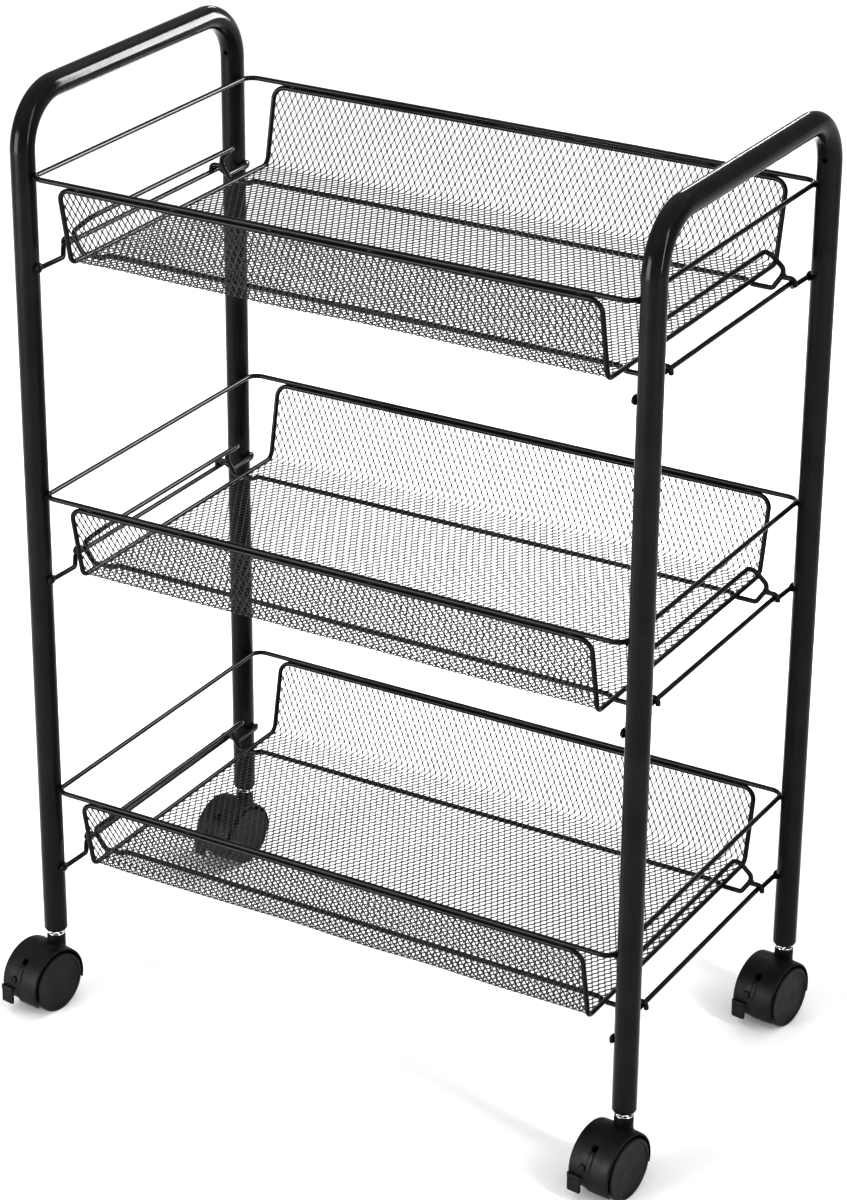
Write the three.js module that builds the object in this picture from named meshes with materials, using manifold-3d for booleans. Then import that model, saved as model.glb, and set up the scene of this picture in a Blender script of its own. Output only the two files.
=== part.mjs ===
// A three-tier rolling pantry cart: two tubular side hoops, three expanded-mesh
// baskets in wire frames, and four twin-wheel stem casters with brake tabs.
//
// Units are millimetres and +Z is up. The origin is on the floor under the middle of the
// cart's bounding box, X runs along the baskets and the front faces -Y.

import * as THREE from "three";
import { mergeVertices } from "three/addons/utils/BufferGeometryUtils.js";
import Module from "manifold-3d";

const wasm = await Module();
wasm.setup();

// ---------------------------------------------------------------- driving dimensions

const GAP = 0.3; // clearance between neighbouring pieces

// side hoops
const LEG_SPAN_X = 426; // leg centre to leg centre, along the baskets
const LEG_SPAN_Y = 232; // leg centre to leg centre, across the baskets
const TUBE_RADIUS = 7.15;
const TUBE_WALL = 1;
const LEG_BOTTOM_Z = 51;
const HANDLE_Z = 625; // centre line of the handle bar
const HANDLE_BEND_RADIUS = 34;
const VENT_HOLE_RADIUS = 1.6;
const VENT_HOLE_Z = 596;

// baskets
const TIER_RIM_Z = { bottom: 159, middle: 368.5, top: 578 }; // centre line of each rim wire
const WIRE_RADIUS = 1.5;
const RIM_HALF_Y = 121;
const RIM_CORNER_RADIUS = 8;
const MESH_HALF_X = 183.5;
const MESH_FLOOR_HALF_Y = 110.7;
const MESH_FLOOR_DROP = 53.5; // rim down to the mesh floor
const MESH_THICKNESS = 0.8;
const MESH_CORNER_RADIUS = 8;
const MESH_FOLD_RADIUS = 6;

// wires that carry each basket
const ROD_HALF_X = 206;
const ROD_DROP = 53.3; // rim down to the raised middle of the cross rod
const ROD_END_DROP = 59; // rim down to the welded ends of the cross rod
const ROD_END_HALF_Y = 119;
const ROD_JOGGLE_HALF_Y = 87.5; // where the raised middle ends
const ROD_JOGGLE_LENGTH = 5;
const BEARER_HALF_Y = 83;
const BEARER_DIP = 2.5; // how far the bearers dip to pass under the ends of the mesh
const BEARER_DIP_START_X = 176;
const BEARER_DIP_END_X = 181;
const BEARER_BEND_RADIUS = 3;
const HOOK_RISE_START_X = 194.5;
const HOOK_RISE_END_X = 200;
const GUARD_TOP_X = 190;
const GUARD_FOOT_X = 201;
const GUARD_DROP = 34.5;
const GUARD_KNEE_DROP = 44.5; // where the guard starts to lean in over the basket
const GUARD_KNEE_RADIUS = 4;
const GUARD_CORNER_RADIUS = 7;

// weld beads at the legs, as radii along X, Y and Z
const ROD_BEAD_RADII = [1.75, 4.2, 3.4];
const RIM_BEAD_RADII = [1.35, 2.8, 1.7];
const RIM_BEAD_DROP = 0.8; // rim down to the middle of its bead

// casters
const CASTER_TOE = THREE.MathUtils.degToRad(-8); // how the casters stand turned at rest
const CASTER_OFFSET = 13.8; // swivel axis to wheel axle
const WHEEL_RADIUS = 20.5; // to the flat of a facet, which is also the axle height
const WHEEL_FACETS = 24;
const WHEEL_INNER_X = 3.2;
const WHEEL_OUTER_X = 15.8;
const WHEEL_BORE_RADIUS = 3.25;
const AXLE_RADIUS = 2.9;
const AXLE_HALF_LENGTH = 12;
const WHEEL_ROOM_RADIUS = 21.4;
const HOOD_INNER_RADIUS = 22.2;
const HOOD_OUTER_RADIUS = 24;
const HOOD_HALF_WIDTH = 14.6;
const HOOD_BACK_ANGLE = THREE.MathUtils.degToRad(-14); // from the back, upwards
const HOOD_FRONT_ANGLE = THREE.MathUtils.degToRad(187);
const HOOD_SLOT_ANGLE = THREE.MathUtils.degToRad(132); // of the middle of the slot in its front
const HOOD_SLOT_SIZE = 4;
const HOOD_SLOT_DEPTH = 8;
const WEB_HALF_THICKNESS = 2.6;
const BOSS_RADIUS = 6.1;
const BOSS_TOP_Z = 47.4;
const STEM_RADIUS = 3.4;
const STEM_COLLAR_RADIUS = 5.6;
const STEM_COLLAR_HEIGHT = 2.9;
const STEM_TOP_Z = 83;
const STEM_BOTTOM_Z = 38.5;
const SOCKET_TOP_Z = 86;
const SOCKET_FLANGE_HEIGHT = 1.2;
const BRAKE_LENGTH = 12.5;
const BRAKE_THICKNESS = 2;
const BRAKE_FLARE = THREE.MathUtils.degToRad(7); // how far the tab leans out from the wheel

// how finely round shapes are cut
const TUBE_SIDES = 16;
const BORE_SIDES = 12;
const PIN_SIDES = 8;
const WIRE_SIDES = 6;
const HOOD_SEGMENTS = 9;
const HOOD_ARC_STEP = (HOOD_FRONT_ANGLE - HOOD_BACK_ANGLE) / HOOD_SEGMENTS;
const TUBE_ARC_STEP = THREE.MathUtils.degToRad(23);
const WIRE_ARC_STEP = THREE.MathUtils.degToRad(45);

// ---------------------------------------------------------------- materials

const material = (color, roughness, metalness) =>
  new THREE.MeshStandardMaterial({ color, roughness, metalness });

const MATERIALS = {
  powderCoat: material(0x101011, 0.22, 0.1),
  mesh: material(0x18181a, 0.35, 0.1),
  nylon: material(0x2b2b2d, 0.5, 0),
  wheel: material(0x333336, 0.55, 0),
  chrome: material(0xd8d9dc, 0.12, 1),
  steel: material(0x9c9da0, 0.35, 1),
};

// ---------------------------------------------------------------- shape helpers

const point = (x, y, z) => new THREE.Vector3(x, y, z);

// The stations of a bend of the given radius at corner, on the way from before to after.
function bend(before, corner, after, radius, arcStep) {
  const back = before.clone().sub(corner).normalize();
  const ahead = after.clone().sub(corner).normalize();
  const half = back.angleTo(ahead) / 2;
  const start = back.clone().multiplyScalar(radius / Math.tan(half)).add(corner);
  const centre = back.clone().add(ahead).normalize();
  centre.multiplyScalar(radius / Math.sin(half)).add(corner);
  const from = start.sub(centre);
  const turn = Math.PI - 2 * half;
  const axis = ahead.clone().cross(back).normalize();
  const steps = Math.max(1, Math.round(turn / arcStep));
  return Array.from({ length: steps + 1 }, (_, i) =>
    from.clone().applyAxisAngle(axis, (turn * i) / steps).add(centre),
  );
}

// A route through [point, bend radius] corners. An open route keeps its two end points.
function route(corners, closed, arcStep = WIRE_ARC_STEP) {
  const count = corners.length;
  return corners.flatMap(([at, radius], i) => {
    if (!closed && (i === 0 || i === count - 1)) return [at];
    const before = corners[(i + count - 1) % count][0];
    const after = corners[(i + 1) % count][0];
    return bend(before, at, after, radius, arcStep);
  });
}

// A curve with one station at each vertex of a route, so a straight run is one step.
class WirePath extends THREE.Curve {
  constructor(stations, closed) {
    super();
    this.stations = stations;
    this.closed = closed;
    this.spans = closed ? stations.length : stations.length - 1;
  }
  station(i) {
    const count = this.stations.length;
    const inRange = this.closed ? (i + count) % count : THREE.MathUtils.clamp(i, 0, count - 1);
    return this.stations[inRange].clone();
  }
  getPointAt(u) {
    return this.station(Math.round(u * this.spans));
  }
  getTangentAt(u) {
    const i = Math.round(u * this.spans);
    const arriving = this.station(i).sub(this.station(i - 1)).normalize();
    const leaving = this.station(i + 1).sub(this.station(i)).normalize();
    return arriving.add(leaving).normalize();
  }
}

function polygon(radius, sides) {
  const corners = Array.from({ length: sides }, (_, i) => {
    const angle = (2 * Math.PI * (i + 0.5)) / sides;
    return new THREE.Vector2(radius * Math.cos(angle), radius * Math.sin(angle));
  });
  return new THREE.Shape(corners);
}

// A bar of round section swept along an open route.
function sweep(stations, radius, sides) {
  const path = new WirePath(stations, false);
  return new THREE.ExtrudeGeometry(polygon(radius, sides), {
    steps: path.spans,
    bevelEnabled: false,
    extrudePath: path,
  });
}

function openWire(corners) {
  return sweep(route(corners, false), WIRE_RADIUS, WIRE_SIDES);
}

function closedWire(corners) {
  const path = new WirePath(route(corners, true), true);
  return new THREE.TubeGeometry(path, path.spans, WIRE_RADIUS, WIRE_SIDES, true);
}

// A flat shape given in (y, z), extruded along X.
function alongX(shape, fromX, toX, curveSegments = 12) {
  const depth = toX - fromX;
  const made = new THREE.ExtrudeGeometry(shape, { depth, bevelEnabled: false, curveSegments });
  const turn = new THREE.Matrix4().makeBasis(point(0, 1, 0), point(0, 0, 1), point(1, 0, 0));
  return made.applyMatrix4(turn).translate(fromX, 0, 0);
}

// A flat shape given in (x, z), extruded along Y from -halfY to halfY.
function alongY(shape, halfY, curveSegments) {
  const made = new THREE.ExtrudeGeometry(shape, {
    depth: 2 * halfY,
    bevelEnabled: false,
    curveSegments,
  });
  const turn = new THREE.Matrix4().makeBasis(point(1, 0, 0), point(0, 0, 1), point(0, -1, 0));
  return made.applyMatrix4(turn).translate(0, halfY, 0);
}

// A [radius, height] profile turned about Z.
function turnedZ(profile, sides) {
  const points = profile.map(([r, h]) => new THREE.Vector2(r, h));
  return new THREE.LatheGeometry(points, sides, Math.PI / sides).rotateX(Math.PI / 2);
}

// A [radius, height] profile turned about X, with the flat of a facet facing down.
function turnedX(profile, sides) {
  const points = profile.map(([r, h]) => new THREE.Vector2(r, h));
  return new THREE.LatheGeometry(points, sides, Math.PI / sides).rotateZ(-Math.PI / 2);
}

function rodX(radius, fromX, toX, sides) {
  return turnedX([[0, fromX], [radius, fromX], [radius, toX], [0, toX]], sides);
}

function rodZ(radius, fromZ, toZ, sides) {
  return turnedZ([[0, fromZ], [radius, fromZ], [radius, toZ], [0, toZ]], sides);
}

function box(from, to) {
  const size = to.clone().sub(from);
  const middle = from.clone().add(to).multiplyScalar(0.5);
  return new THREE.BoxGeometry(size.x, size.y, size.z).translate(middle.x, middle.y, middle.z);
}

function toSolid(geometry) {
  const bare = geometry.clone();
  bare.deleteAttribute("normal");
  bare.deleteAttribute("uv");
  const merged = mergeVertices(bare, 1e-4);
  return new wasm.Manifold(
    new wasm.Mesh({
      numProp: 3,
      vertProperties: merged.attributes.position.array,
      triVerts: new Uint32Array(merged.index.array),
    }),
  );
}

function toGeometry(solid) {
  const mesh = solid.getMesh();
  const geometry = new THREE.BufferGeometry();
  geometry.setAttribute("position", new THREE.BufferAttribute(mesh.vertProperties, 3));
  geometry.setIndex(new THREE.BufferAttribute(mesh.triVerts, 1));
  return geometry;
}

// Joins the first list of geometries and cuts the second list from them.
function joinAndCut(kept, removed = []) {
  const joined = kept.map(toSolid).reduce((sum, next) => sum.add(next));
  return toGeometry(removed.map(toSolid).reduce((sum, next) => sum.subtract(next), joined));
}

const pieces = new THREE.Group();

function addPiece(name, geometry, pieceMaterial, parent = pieces) {
  const mesh = new THREE.Mesh(geometry, pieceMaterial);
  mesh.name = name;
  parent.add(mesh);
  return mesh;
}

const SIDES = { left: -1, right: 1 };
const ENDS = { front: -1, back: 1 };
const LEG_X = LEG_SPAN_X / 2;
const LEG_Y = LEG_SPAN_Y / 2;
const LEG_INNER_X = LEG_X - TUBE_RADIUS;
const RIM_HALF_X = LEG_INNER_X - GAP - WIRE_RADIUS;
const CORNERS = Object.entries(ENDS).flatMap(([end, signY]) =>
  Object.entries(SIDES).map(([side, signX]) => ({ name: `${end}_${side}`, signX, signY })),
);

// ---------------------------------------------------------------- side hoops

const TUBE_END_Z = LEG_BOTTOM_Z + SOCKET_FLANGE_HEIGHT + GAP;

function hoopTube(x, radius, endZ, sides) {
  const corners = [
    [point(x, -LEG_Y, endZ), 0],
    [point(x, -LEG_Y, HANDLE_Z), HANDLE_BEND_RADIUS],
    [point(x, LEG_Y, HANDLE_Z), HANDLE_BEND_RADIUS],
    [point(x, LEG_Y, endZ), 0],
  ];
  return sweep(route(corners, false, TUBE_ARC_STEP), radius, sides);
}

// Each hoop is hollow, and has a vent hole below its back bend.
function sideHoop(signX) {
  const x = signX * LEG_X;
  const outer = hoopTube(x, TUBE_RADIUS, TUBE_END_Z, TUBE_SIDES);
  const inner = hoopTube(x, TUBE_RADIUS - TUBE_WALL, TUBE_END_Z - 1, BORE_SIDES);
  const vent = rodZ(VENT_HOLE_RADIUS, 0, TUBE_RADIUS + 1, PIN_SIDES).rotateX(Math.PI / 2);
  vent.translate(x, LEG_Y, VENT_HOLE_Z);
  return joinAndCut([outer], [inner, vent]);
}

for (const [side, signX] of Object.entries(SIDES)) {
  addPiece(`side_hoop_${side}`, sideHoop(signX), MATERIALS.powderCoat);
}

// ---------------------------------------------------------------- cross rods

// A lump of weld on the inner face of a leg.
function weldBead(radii, signX, signY, z) {
  const bead = new THREE.SphereGeometry(1, 6, 4).scale(...radii);
  return bead.translate(signX * (LEG_INNER_X - GAP - radii[0]), signY * LEG_Y, z);
}

// A wire from leg to leg whose middle is raised and set outwards, with a weld bead at each end.
function crossRod(signX, rimZ) {
  const endX = signX * RIM_HALF_X;
  const innerEndX = signX * (RIM_HALF_X - 1);
  const middleX = signX * ROD_HALF_X;
  const endZ = rimZ - ROD_END_DROP;
  const middleZ = rimZ - ROD_DROP;
  const joggleY = ROD_JOGGLE_HALF_Y + ROD_JOGGLE_LENGTH;
  const half = (signY) => [
    [point(endX, signY * ROD_END_HALF_Y, endZ), 0],
    [point(innerEndX, signY * joggleY, endZ), 3],
    [point(middleX, signY * ROD_JOGGLE_HALF_Y, middleZ), 3],
  ];
  const rod = openWire([...half(-1), ...half(1).reverse()]);
  const beads = [-1, 1].map((signY) => weldBead(ROD_BEAD_RADII, signX, signY, endZ));
  return joinAndCut([rod, ...beads]);
}

// ---------------------------------------------------------------- baskets

// The top ring of wire, with a weld bead at each leg.
function basketRim(rimZ) {
  const ring = closedWire(
    [[-1, -1], [1, -1], [1, 1], [-1, 1]].map(([signX, signY]) => [
      point(signX * RIM_HALF_X, signY * RIM_HALF_Y, rimZ),
      RIM_CORNER_RADIUS,
    ]),
  );
  const beads = CORNERS.map(({ signX, signY }) =>
    weldBead(RIM_BEAD_RADII, signX, signY, rimZ - RIM_BEAD_DROP),
  );
  return joinAndCut([ring, ...beads]);
}

const EDGE_DROP = 2 * WIRE_RADIUS + GAP; // rim down to the wire that borders the mesh

// The closed wire round the mesh: along both tops, down the wall ends and across the floor ends.
function meshEdgeWire(rimZ) {
  const top = (signX, signY) => [
    point(signX * MESH_HALF_X, signY * RIM_HALF_Y, rimZ - EDGE_DROP),
    MESH_CORNER_RADIUS,
  ];
  const floor = (signX, signY) => [
    point(signX * MESH_HALF_X, signY * MESH_FLOOR_HALF_Y, rimZ - MESH_FLOOR_DROP),
    MESH_FOLD_RADIUS,
  ];
  return closedWire([
    top(-1, -1), top(1, -1), floor(1, -1), floor(1, 1),
    top(1, 1), top(-1, 1), floor(-1, 1), floor(-1, -1),
  ]);
}

// The folded mesh, as the thin sheet it was cut from: front wall, floor and back wall.
function meshTray(rimZ) {
  const setback = WIRE_RADIUS + GAP;
  const topZ = -EDGE_DROP - setback;
  const slope = (RIM_HALF_Y - MESH_FLOOR_HALF_Y) / (MESH_FLOOR_DROP - EDGE_DROP);
  const topHalfY = RIM_HALF_Y - setback * slope;
  const spine = route(
    [
      [point(-topHalfY, topZ, 0), 0],
      [point(-MESH_FLOOR_HALF_Y, -MESH_FLOOR_DROP, 0), MESH_FOLD_RADIUS],
      [point(MESH_FLOOR_HALF_Y, -MESH_FLOOR_DROP, 0), MESH_FOLD_RADIUS],
      [point(topHalfY, topZ, 0), 0],
    ],
    false,
  );
  const path = new WirePath(spine, false);
  const offset = (distance) =>
    spine.map((at, i) => {
      const along = path.getTangentAt(i / path.spans);
      return new THREE.Vector2(at.x - along.y * distance, at.y + along.x * distance);
    });
  const half = MESH_THICKNESS / 2;
  const profile = new THREE.Shape([...offset(-half), ...offset(half).reverse()]);
  const endX = MESH_HALF_X - setback;
  const sheet = alongX(profile, -endX, endX);

  // The upper corners of the walls are rounded inside the bends of the edge wire.
  const cornerRadius = MESH_CORNER_RADIUS;
  const outline = new THREE.Shape();
  outline.moveTo(-endX, -MESH_FLOOR_DROP - 1);
  outline.lineTo(endX, -MESH_FLOOR_DROP - 1);
  outline.absarc(endX - cornerRadius, topZ - cornerRadius, cornerRadius, 0, Math.PI / 2, false);
  outline.absarc(cornerRadius - endX, topZ - cornerRadius, cornerRadius, Math.PI / 2, Math.PI, false);
  const blank = alongY(outline, RIM_HALF_Y + 1, 4);
  return toGeometry(toSolid(sheet).intersect(toSolid(blank))).translate(0, 0, rimZ);
}

// Two bearer wires under the mesh, hooked over the cross rods, with a guard wire at each end.
function supportFrame(rimZ) {
  const bearerZ = rimZ - MESH_FLOOR_DROP - MESH_THICKNESS / 2 - GAP - WIRE_RADIUS;
  const dipZ = bearerZ - BEARER_DIP;
  const hookRadius = 2 * WIRE_RADIUS + GAP;
  const hookTopZ = rimZ - ROD_DROP + hookRadius;
  const hookOuterX = ROD_HALF_X + hookRadius;
  const bearerEnd = (signX, y) => [
    [point(signX * hookOuterX, y, hookTopZ - hookRadius - 1.5), 0],
    [point(signX * hookOuterX, y, hookTopZ), hookRadius],
    [point(signX * HOOK_RISE_END_X, y, hookTopZ), BEARER_BEND_RADIUS],
    [point(signX * HOOK_RISE_START_X, y, dipZ), BEARER_BEND_RADIUS],
    [point(signX * BEARER_DIP_END_X, y, dipZ), BEARER_BEND_RADIUS],
    [point(signX * BEARER_DIP_START_X, y, bearerZ), BEARER_BEND_RADIUS],
  ];
  const bearers = [-1, 1].map((signY) => {
    const y = signY * BEARER_HALF_Y;
    return openWire([...bearerEnd(-1, y), ...bearerEnd(1, y).reverse()]);
  });
  const guardEnd = (signX, y) => [
    [point(signX * GUARD_FOOT_X, y, hookTopZ - 0.6), 0],
    [point(signX * GUARD_FOOT_X, y, rimZ - GUARD_KNEE_DROP), GUARD_KNEE_RADIUS],
    [point(signX * GUARD_TOP_X, y, rimZ - GUARD_DROP), GUARD_CORNER_RADIUS],
  ];
  const guards = [-1, 1].map((signX) =>
    openWire([
      ...guardEnd(signX, -BEARER_HALF_Y),
      ...guardEnd(signX, BEARER_HALF_Y).reverse(),
    ]),
  );
  return joinAndCut([...bearers, ...guards]);
}

for (const [tier, rimZ] of Object.entries(TIER_RIM_Z)) {
  addPiece(`basket_rim_${tier}`, basketRim(rimZ), MATERIALS.powderCoat);
  addPiece(`mesh_tray_${tier}`, meshTray(rimZ), MATERIALS.mesh);
  addPiece(`mesh_edge_wire_${tier}`, meshEdgeWire(rimZ), MATERIALS.powderCoat);
  addPiece(`support_frame_${tier}`, supportFrame(rimZ), MATERIALS.powderCoat);
  for (const [side, signX] of Object.entries(SIDES)) {
    addPiece(`cross_rod_${side}_${tier}`, crossRod(signX, rimZ), MATERIALS.powderCoat);
  }
}

// ---------------------------------------------------------------- casters

// The plug in the foot of each leg, with a flange that closes the tube's end.
function stemSocket() {
  const flangeTopZ = LEG_BOTTOM_Z + SOCKET_FLANGE_HEIGHT;
  const plugRadius = TUBE_RADIUS - TUBE_WALL - GAP;
  const boreRadius = STEM_RADIUS + GAP;
  return turnedZ(
    [
      [boreRadius, LEG_BOTTOM_Z],
      [TUBE_RADIUS - 0.5, LEG_BOTTOM_Z],
      [TUBE_RADIUS, flangeTopZ],
      [plugRadius, flangeTopZ],
      [plugRadius, SOCKET_TOP_Z],
      [boreRadius, SOCKET_TOP_Z],
      [boreRadius, LEG_BOTTOM_Z],
    ],
    PIN_SIDES,
  );
}

// The chromed pin on which the housing swivels, with the collar seen under the leg.
function casterStem() {
  const collarBottomZ = BOSS_TOP_Z + GAP;
  const collarTopZ = collarBottomZ + STEM_COLLAR_HEIGHT;
  return turnedZ(
    [
      [0, STEM_BOTTOM_Z],
      [STEM_RADIUS, STEM_BOTTOM_Z],
      [STEM_RADIUS, collarBottomZ],
      [STEM_COLLAR_RADIUS, collarBottomZ],
      [STEM_COLLAR_RADIUS, collarTopZ],
      [STEM_RADIUS, collarTopZ],
      [STEM_RADIUS, STEM_TOP_Z - 2],
      [STEM_RADIUS - 1.5, STEM_TOP_Z],
      [0, STEM_TOP_Z],
    ],
    PIN_SIDES,
  );
}

// The hood over both wheels, the web between them and the boss round the stem, in the caster's
// own frame: swivel axis at the origin, axle CASTER_OFFSET in front of it. Beside the brake tab the
// hood reaches one facet further down, as a skirt.
function casterHousing() {
  const hood = new THREE.Shape();
  hood.absarc(0, 0, HOOD_OUTER_RADIUS, HOOD_BACK_ANGLE, HOOD_FRONT_ANGLE, false);
  hood.absarc(0, 0, HOOD_INNER_RADIUS, HOOD_FRONT_ANGLE, HOOD_BACK_ANGLE, true);
  const skirtStart = HOOD_FRONT_ANGLE - HOOD_ARC_STEP;
  const skirtEnd = HOOD_FRONT_ANGLE + HOOD_ARC_STEP;
  const skirt = new THREE.Shape();
  skirt.absarc(0, 0, HOOD_OUTER_RADIUS, skirtStart, skirtEnd, false);
  skirt.absarc(0, 0, HOOD_INNER_RADIUS, skirtEnd, skirtStart, true);
  const web = new THREE.Shape();
  web.absarc(0, 0, HOOD_INNER_RADIUS + 0.5, HOOD_BACK_ANGLE, HOOD_FRONT_ANGLE, false);
  web.absarc(0, 0, WHEEL_BORE_RADIUS + 3, HOOD_FRONT_ANGLE, HOOD_BACK_ANGLE + 2 * Math.PI, false);
  const toAxle = (geometry) => geometry.translate(0, -CASTER_OFFSET, WHEEL_RADIUS);
  const bossBottomZ = WHEEL_RADIUS + Math.sqrt(HOOD_INNER_RADIUS ** 2 - CASTER_OFFSET ** 2) - 4;
  const boss = rodZ(BOSS_RADIUS, bossBottomZ, BOSS_TOP_Z, BORE_SIDES);
  const rooms = [-1, 1].map((sign) => {
    const ends = [sign * WEB_HALF_THICKNESS, sign * (HOOD_HALF_WIDTH + 1)].sort((a, b) => a - b);
    return toAxle(rodX(WHEEL_ROOM_RADIUS, ends[0], ends[1], WHEEL_FACETS));
  });
  const stemHole = rodZ(STEM_RADIUS + GAP, STEM_BOTTOM_Z - GAP, BOSS_TOP_Z + 1, PIN_SIDES);
  const axleHole = toAxle(rodX(WHEEL_BORE_RADIUS, -4, 4, PIN_SIDES));
  const slotHalf = HOOD_SLOT_SIZE / 2;
  const slot = box(
    point(-slotHalf, -HOOD_OUTER_RADIUS - 1, -slotHalf),
    point(slotHalf, HOOD_SLOT_DEPTH - HOOD_OUTER_RADIUS, slotHalf),
  ).rotateX(HOOD_SLOT_ANGLE - Math.PI);
  return joinAndCut(
    [
      toAxle(alongX(hood, -HOOD_HALF_WIDTH, HOOD_HALF_WIDTH, HOOD_SEGMENTS)),
      toAxle(alongX(skirt, -WEB_HALF_THICKNESS, HOOD_HALF_WIDTH, 2)),
      toAxle(alongX(web, -WEB_HALF_THICKNESS, WEB_HALF_THICKNESS, HOOD_SEGMENTS)),
      boss,
    ],
    [...rooms, stemHole, axleHole, toAxle(slot)],
  );
}

// One wheel with its closed outer face, turned about its axle.
function casterWheel(sign) {
  const profile = [
    [0, WHEEL_OUTER_X],
    [WHEEL_RADIUS - 0.9, WHEEL_OUTER_X],
    [WHEEL_RADIUS, WHEEL_OUTER_X - 0.9],
    [WHEEL_RADIUS, WHEEL_INNER_X],
    [WHEEL_BORE_RADIUS, WHEEL_INNER_X],
    [WHEEL_BORE_RADIUS, AXLE_HALF_LENGTH + 0.5],
    [0, AXLE_HALF_LENGTH + 0.5],
  ];
  const toFlat = 1 / Math.cos(Math.PI / WHEEL_FACETS);
  const outline = profile.reverse().map(([r, x]) => [r * toFlat, x]);
  const wheel = turnedX(outline, WHEEL_FACETS);
  return sign > 0 ? wheel : wheel.rotateZ(Math.PI);
}

// The tab that presses on one tread, hung from the front edge of the hood.
function brakeTab() {
  const half = BRAKE_THICKNESS / 2;
  const rootRadius = (HOOD_INNER_RADIUS + HOOD_OUTER_RADIUS) / 2;
  const rootAngle = HOOD_FRONT_ANGLE + (half + 1.5 * GAP) / rootRadius;
  const lean = rootAngle + Math.PI / 2 - BRAKE_FLARE;
  const tab = new THREE.Shape();
  tab.moveTo(0, -half);
  tab.lineTo(BRAKE_LENGTH, -half);
  tab.lineTo(BRAKE_LENGTH, half);
  tab.lineTo(0, half);
  tab.absarc(0, 0, half, Math.PI / 2, 1.5 * Math.PI, false);
  const plate = alongX(tab, -HOOD_HALF_WIDTH + 0.4, -WEB_HALF_THICKNESS - 1.2, 4);
  plate.rotateX(lean);
  return plate.translate(
    0,
    -CASTER_OFFSET + rootRadius * Math.cos(rootAngle),
    WHEEL_RADIUS + rootRadius * Math.sin(rootAngle),
  );
}

for (const { name, signX, signY } of CORNERS) {
  const caster = new THREE.Group();
  caster.position.set(signX * LEG_X, signY * LEG_Y, 0);
  caster.rotation.z = CASTER_TOE;
  pieces.add(caster);
  addPiece(`stem_socket_${name}`, stemSocket(), MATERIALS.nylon, caster);
  addPiece(`caster_${name}_stem`, casterStem(), MATERIALS.chrome, caster);
  addPiece(`caster_${name}_housing`, casterHousing(), MATERIALS.nylon, caster);
  addPiece(`caster_${name}_brake`, brakeTab(), MATERIALS.nylon, caster);
  const axle = rodX(AXLE_RADIUS, -AXLE_HALF_LENGTH, AXLE_HALF_LENGTH, PIN_SIDES);
  const onAxle = [addPiece(`caster_${name}_axle`, axle, MATERIALS.steel, caster)];
  for (const [side, sign] of Object.entries(SIDES)) {
    onAxle.push(addPiece(`caster_${name}_wheel_${side}`, casterWheel(sign), MATERIALS.wheel, caster));
  }
  for (const piece of onAxle) piece.position.set(0, -CASTER_OFFSET, WHEEL_RADIUS);
}

// The casters reach out further in front, so the middle of the box is not that of the legs.
const extent = new THREE.Box3().setFromObject(pieces, true);
const middle = extent.getCenter(new THREE.Vector3());
pieces.position.set(-middle.x, -middle.y, -extent.min.z);

const cart = new THREE.Group();
cart.add(pieces);

export default cart;
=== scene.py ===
"""Looks for a three-tier rolling pantry cart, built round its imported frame.

Metres, +Z up. The baskets run along X and the front of the cart faces -Y.
"""

import math

import bmesh
import bpy
import numpy as np
from mathutils import Matrix, Vector, noise


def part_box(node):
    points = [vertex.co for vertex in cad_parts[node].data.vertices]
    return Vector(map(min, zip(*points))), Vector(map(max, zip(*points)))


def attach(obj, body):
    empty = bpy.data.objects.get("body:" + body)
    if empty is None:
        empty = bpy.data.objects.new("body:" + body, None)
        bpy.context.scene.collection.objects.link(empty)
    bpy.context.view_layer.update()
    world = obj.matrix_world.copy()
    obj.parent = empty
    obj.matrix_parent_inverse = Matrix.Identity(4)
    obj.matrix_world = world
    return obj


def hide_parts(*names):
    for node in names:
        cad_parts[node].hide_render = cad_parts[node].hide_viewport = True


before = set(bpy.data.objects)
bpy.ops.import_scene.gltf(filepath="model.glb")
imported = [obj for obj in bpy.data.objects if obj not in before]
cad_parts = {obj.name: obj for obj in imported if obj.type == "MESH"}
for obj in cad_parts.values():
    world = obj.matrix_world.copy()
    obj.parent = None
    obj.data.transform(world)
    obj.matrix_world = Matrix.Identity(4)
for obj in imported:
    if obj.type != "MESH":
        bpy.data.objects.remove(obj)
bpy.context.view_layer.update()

MM = 0.001

# ---------------- sizes

TUBE_RADIUS = 7.7 * MM
TUBE_WALL = 1 * MM
HANDLE_Z = 625 * MM
HANDLE_BEND_RADIUS = 34 * MM
VENT_HOLE_RADIUS = 1.6 * MM
VENT_HOLE_Z = 596 * MM
VENT_DRILL_LENGTH = 12 * MM
LEG_HALF_Y = 116 * MM
LEG_FACE = 7.4 * MM  # the middle of a leg to the face that the welds sit on
LEG_FOOT_GAP = 1.5 * MM  # the flange of the socket, below the foot of the tube

WIRE_RADIUS = 1.6 * MM
WIRE_END_ROUNDING = 0.35  # of the wire's radius
RIM_TOP = 1.5 * MM  # the rim's middle below the top of its CAD box
RIM_HALF_X = 204.05 * MM
RIM_HALF_Y = 121 * MM
RIM_CORNER_RADIUS = 8 * MM
EDGE_DROP = 3.3 * MM  # rim down to the wire that borders the mesh
MESH_HALF_X = 183.5 * MM
MESH_FLOOR_HALF_Y = 110.7 * MM
MESH_FLOOR_DROP = 53.5 * MM
MESH_CORNER_RADIUS = 8 * MM
MESH_FOLD_RADIUS = 6 * MM

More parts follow.
